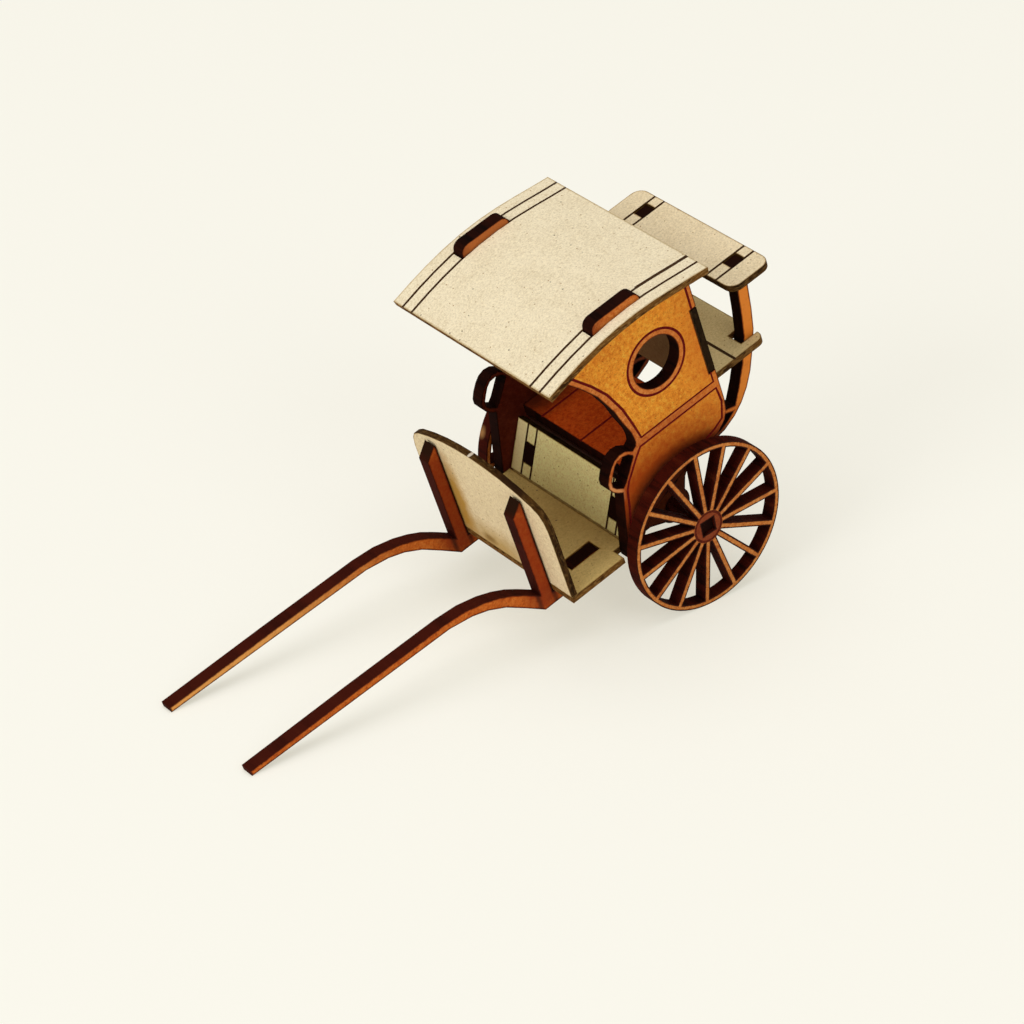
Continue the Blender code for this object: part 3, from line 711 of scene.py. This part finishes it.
def makeWheels():
    plates = wheelPlates
    for side, sign, seed in sides:
        face = fibreFace(side + "WheelBoard", plates["base"], throughY, seed + plates["seed"], plates["stainsAndPaintedLight"],
                         plates["scorch"])
        edge = charredEdge(side + "WheelCutEdge", "rim", throughY, seed + plates["seed"], plates["edgeStainsAndPaintedLight"])
        ring = circlePoints(0, plates["outerY"] * sign, 0, plates["hubLine"], plates["hubPoints"])
        makePlate("wheel_" + side, side + "WheelPlate", "wheelset", Vector((0, sign, 0)), [face, edge],
                  [(ring, True)], scorchedHub, plates["strip"])
    strip = charredEdge("axleBoard", "maroon", throughUp, axleStrip["seed"])
    ends = charredEdge("axleCutEdge", "black", throughUp, axleStrip["endSeed"])
    makePlate("axle", "axleStrip", "wheelset", Vector((0, 1, 0)), [ends, strip])


bench = {
    # The base is darker and redder than the other boards: painted shade inside the cab.
    "base": (0.53, 0.064, 0.006), "lines": (0.0, 8.6, -8.6), "top": 10.8, "front": 5.6, "rear": -8.5, "seed": 120,
    "edgeSeed": 121,
    # Painted shade: the bench goes dark towards both ends, most at the right end.
    "stainsAndPaintedLight": tuple(
        {"centre": (2.0, y, 10.8), "reach": (9.0, reach, 3.0), "fade": (1.15, 0.35), "strength": strength,
         "colour": (0.045, 0.007, 0.003)} for y, reach, strength in ((13.2, 3.9, 0.5), (-13.0, 5.4, 0.9))),
}


def makeBench():
    lines = [([onCab(x, y, bench["top"]) for x in (bench["front"], bench["rear"])], False) for y in bench["lines"]]
    face = fibreFace("benchBoard", bench["base"], throughUp, bench["seed"], bench["stainsAndPaintedLight"])
    edge = charredEdge("benchCutEdge", "black", throughUp, bench["edgeSeed"])
    makePlate("seat_board", "benchPlate", "cab", cabDirection(0, 0, 1), [face, edge], lines, scorchedFibre)


roofCard = {
    "base": (0.81, 0.70, 0.49), "lines": (13.0, 15.0, -13.0, -15.0), "secondPass": 12.82, "secondFrom": -3,
    "strip": 0, "seed": 200,
    "stainsAndPaintedLight": tuple(
        {"centre": centre, "reach": reach, "fade": (1.1, 0.3), "strength": 0.75, "uneven": 0.8,
         "colour": (0.42, 0.29, 0.12)}
        for centre, reach in (((2.0, 17.1, 38), (wide, 0.30, wide)), ((2.0, -17.1, 38), (wide, 0.30, wide)),
                              ((16.4, 0, 38), (0.30, wide, wide)), ((-12.25, 0, 38), (0.30, wide, wide)))),
    "profile": ((17.0, 36.35), (16.4, 36.6), (13.0, 37.55), (10.0, 38.25), (6.7, 38.85), (3.4, 39.2), (0, 39.3),
                (-3.2, 39.15), (-6.5, 38.8), (-9.6, 38.4), (-12.25, 38.1), (-12.9, 38.03)),
}
dashCard = {
    "base": (0.84, 0.67, 0.40), "edgeShare": 0.42, "seed": 213,
    "stainsAndPaintedLight": (
        {"centre": (22.0, -1.0, 3.4), "reach": (3, 10, 4.0), "fade": (1.2, 0.2), "strength": 0.78,
         "colour": (0.47, 0.27, 0.055)},
        {"centre": (22.0, -7.9, 8.5), "reach": (3, 2.6, 9.5), "fade": (1.15, 0.4), "strength": 0.92,
         "colour": (0.50, 0.26, 0.032)},
        {"centre": (22.0, -2.6, 4.0), "reach": (3, 1.8, 0.9), "fade": (1.2, 0.3), "strength": 0.65,
         "colour": (0.20, 0.10, 0.022)},
    ),
    "edgeStainsAndPaintedLight": (
        {"centre": (21.5, -0.3, 21.0), "reach": (0.7, 0.35, 0.6), "fade": (1.0, 0.7), "strength": 0.95,
         "uneven": 0.2, "colour": (0.72, 0.62, 0.48)},
        {"centre": (21.3, 8.0, 19.6), "reach": (1.2, 3.4, 2.0), "fade": (1.1, 0.6), "strength": 0.85,
         "colour": (0.022, 0.008, 0.003)},
    ),
}
floorCard = {
    "base": (0.64, 0.46, 0.17), "seed": 226,
    "stainsAndPaintedLight": (
        # Painted shade: darker at the back by the riser, under the roof.
        {"centre": (11.0, 4.0, 2.7), "reach": (5.5, 13.0, 3), "fade": (1.2, 0.3), "strength": 0.35,
         "colour": (0.42, 0.24, 0.07)},
    ),
}
riserCard = {
    # Painted light: the base is brighter and yellower than the other cards, for warm light bounced from the boards
    # around the riser.
    "base": (0.90, 0.78, 0.36), "lines": (8.5, 10.5, -8.5, -10.5), "foot": (9.46, 2.12), "lean": math.radians(28.8),
    "length": 7.9, "thickness": 1.0, "edgeShare": 0.16, "seed": 239,
    "stainsAndPaintedLight": (
        {"centre": (8.0, -12.6, 6.0), "reach": (8.0, 3.0, 8.0), "fade": (1.15, 0.6), "strength": 0.55,
         "colour": (0.90, 0.74, 0.42)},
    ),
}
# Dried glue closes the joints along the riser's top and foot. A bead swells by a share of its radius, over angles
# in radians a millimetre.
beadShape = {"sides": 12, "cuts": 60, "swell": (0.10, 2.1), "ripple": (0.08, 5.3)}
glueBeads = {
    "riserTopGlue": {"from": (5.42, -11.6, 8.86), "to": (5.42, 11.6, 8.86), "radius": 0.34, "seed": 3,
                     "colour": (0.020, 0.006, 0.003)},
    "riserFootGlue": {"from": (10.36, -12.2, 2.42), "to": (10.36, 11.4, 2.42), "radius": 0.22, "seed": 8,
                      "colour": (0.26, 0.17, 0.055)},
}
# Painted shade: the base is far darker than the other cards, for the shade inside the cab.
rearWallCard = {"base": (0.24, 0.135, 0.055), "edgeShare": 0.11, "seed": 252}
driverSeatCard = {
    "base": (0.80, 0.66, 0.43), "lines": (8.5, 10.5, -8.5, -10.5), "top": 29.2, "front": -16.3, "rear": -24.3,
    "edgeShare": 0.5, "seed": 265,
}
footboardCard = {
    # Painted shade: the base is darker than the other cards, for the shade under the driver's seat and the cab.
    "base": (0.70, 0.56, 0.28), "lines": (-14.96, -15.06), "top": 17.0, "halfWidth": 12.3, "edgeShare": 0.8,
    "seed": 278,
    "stainsAndPaintedLight": (
        # Painted shade: darker still along the rear wall.
        {"centre": (-10.0, 0, 17.0), "reach": (5.5, 14.0, 3), "fade": (1.2, 0.3), "strength": 0.45,
         "colour": (0.42, 0.30, 0.11)},
    ),
}


def makeCard(node, name, through, turn, card, lines=()):
    face = sheetFace("card", name + "Face", card["base"], turn, card["seed"], card.get("stainsAndPaintedLight", ()),
                     sheetScorch["card"])
    edge = cardEdge(name + "CutEdge", turn, card["seed"], card.get("edgeShare", 1.0), card.get("edgeStainsAndPaintedLight", ()))
    makePlate(node, name, "cab", through, [face, edge], lines, scorchedCard, card.get("strip", sheetStrips["card"]))


def riserPoint(distance, y):
    footX, footZ = riserCard["foot"]
    lean, thickness = riserCard["lean"], riserCard["thickness"]
    x = footX - math.sin(lean) * distance + math.cos(lean) * thickness
    z = footZ + math.cos(lean) * distance + math.sin(lean) * thickness
    return onCab(x, y, z)


def makeGlue():
    swell, swellTurn = beadShape["swell"]
    ripple, rippleTurn = beadShape["ripple"]
    for name, bead in glueBeads.items():
        start, end = Vector(bead["from"]) * mm, Vector(bead["to"]) * mm
        material = twoToned("glue", name, bead["colour"], throughUp, bead["seed"])
        work = bmesh.new()
        radius = bead["radius"] * mm
        bmesh.ops.create_cone(work, cap_ends=True, segments=beadShape["sides"], radius1=radius, radius2=radius,
                              depth=(end - start).length)
        rails = [edge for edge in work.edges if abs(edge.verts[0].co.z - edge.verts[1].co.z) > radius]
        bmesh.ops.subdivide_edges(work, edges=rails, cuts=beadShape["cuts"])
        for vert in work.verts:
            along = vert.co.z / mm
            share = 1 + swell * math.sin(along * swellTurn + bead["seed"]) + ripple * math.sin(along * rippleTurn)
            vert.co.x *= share
            vert.co.y *= share
        bmesh.ops.rotate(work, verts=work.verts, cent=(0, 0, 0), matrix=Matrix.Rotation(math.radians(90), 3, "X"))
        bmesh.ops.translate(work, verts=work.verts, vec=(start + end) / 2)
        bmesh.ops.transform(work, verts=work.verts, matrix=leanMatrix)
        bmesh.ops.recalc_face_normals(work, faces=work.faces)
        for face in work.faces:
            face.smooth = True
        mesh = bpy.data.meshes.new(name)
        work.to_mesh(mesh)
        work.free()
        mesh.materials.append(material)
        piece = bpy.data.objects.new(name, mesh)
        bpy.context.scene.collection.objects.link(piece)
        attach(piece, "cab")
        print(name, "laid")


def makeCards():
    up, ahead = cabDirection(0, 0, 1), cabDirection(1, 0, 0)
    roofLines = [([onCab(x, y, z) for x, z in roofCard["profile"]], False) for y in roofCard["lines"]]
    # The laser went over the line behind the left tab twice.
    secondPass = [onCab(x, roofCard["secondPass"], z) for x, z in roofCard["profile"] if x < roofCard["secondFrom"]]
    makeCard("roof", "roofCard", up, throughUp, roofCard, roofLines + [(secondPass, False)])
    makeCard("dashboard", "dashboardCard", ahead, throughAhead, dashCard)
    makeCard("floor", "floorCard", up, throughUp, floorCard)
    lean = riserCard["lean"]
    throughLean = (0, -stance["pitch"] - math.radians(90) + lean, 0)
    riserEnds = (-lineOverrun, riserCard["length"] + lineOverrun)
    riserLines = [([riserPoint(end, y) for end in riserEnds], False) for y in riserCard["lines"]]
    makeCard("seat_riser", "riserCard", cabDirection(math.cos(lean), 0, math.sin(lean)), throughLean, riserCard,
             riserLines)
    makeCard("rear_wall", "rearWallCard", ahead, throughAhead, rearWallCard)
    seat = driverSeatCard
    seatLines = [([onCab(x, y, seat["top"]) for x in (seat["front"], seat["rear"])], False) for y in seat["lines"]]
    makeCard("driver_seat", "driverSeatCard", up, throughUp, seat, seatLines)
    foot = footboardCard
    footEnd = foot["halfWidth"] + lineOverrun
    footLines = [([onCab(x, y, foot["top"]) for y in (-footEnd, footEnd)], False) for x in foot["lines"]]
    makeCard("driver_footboard", "footboardCard", up, throughUp, foot, footLines)


makeFrames()
makePanels()
makeWheels()
makeBench()
makeCards()
makeGlue()
print("plates and glue finished")
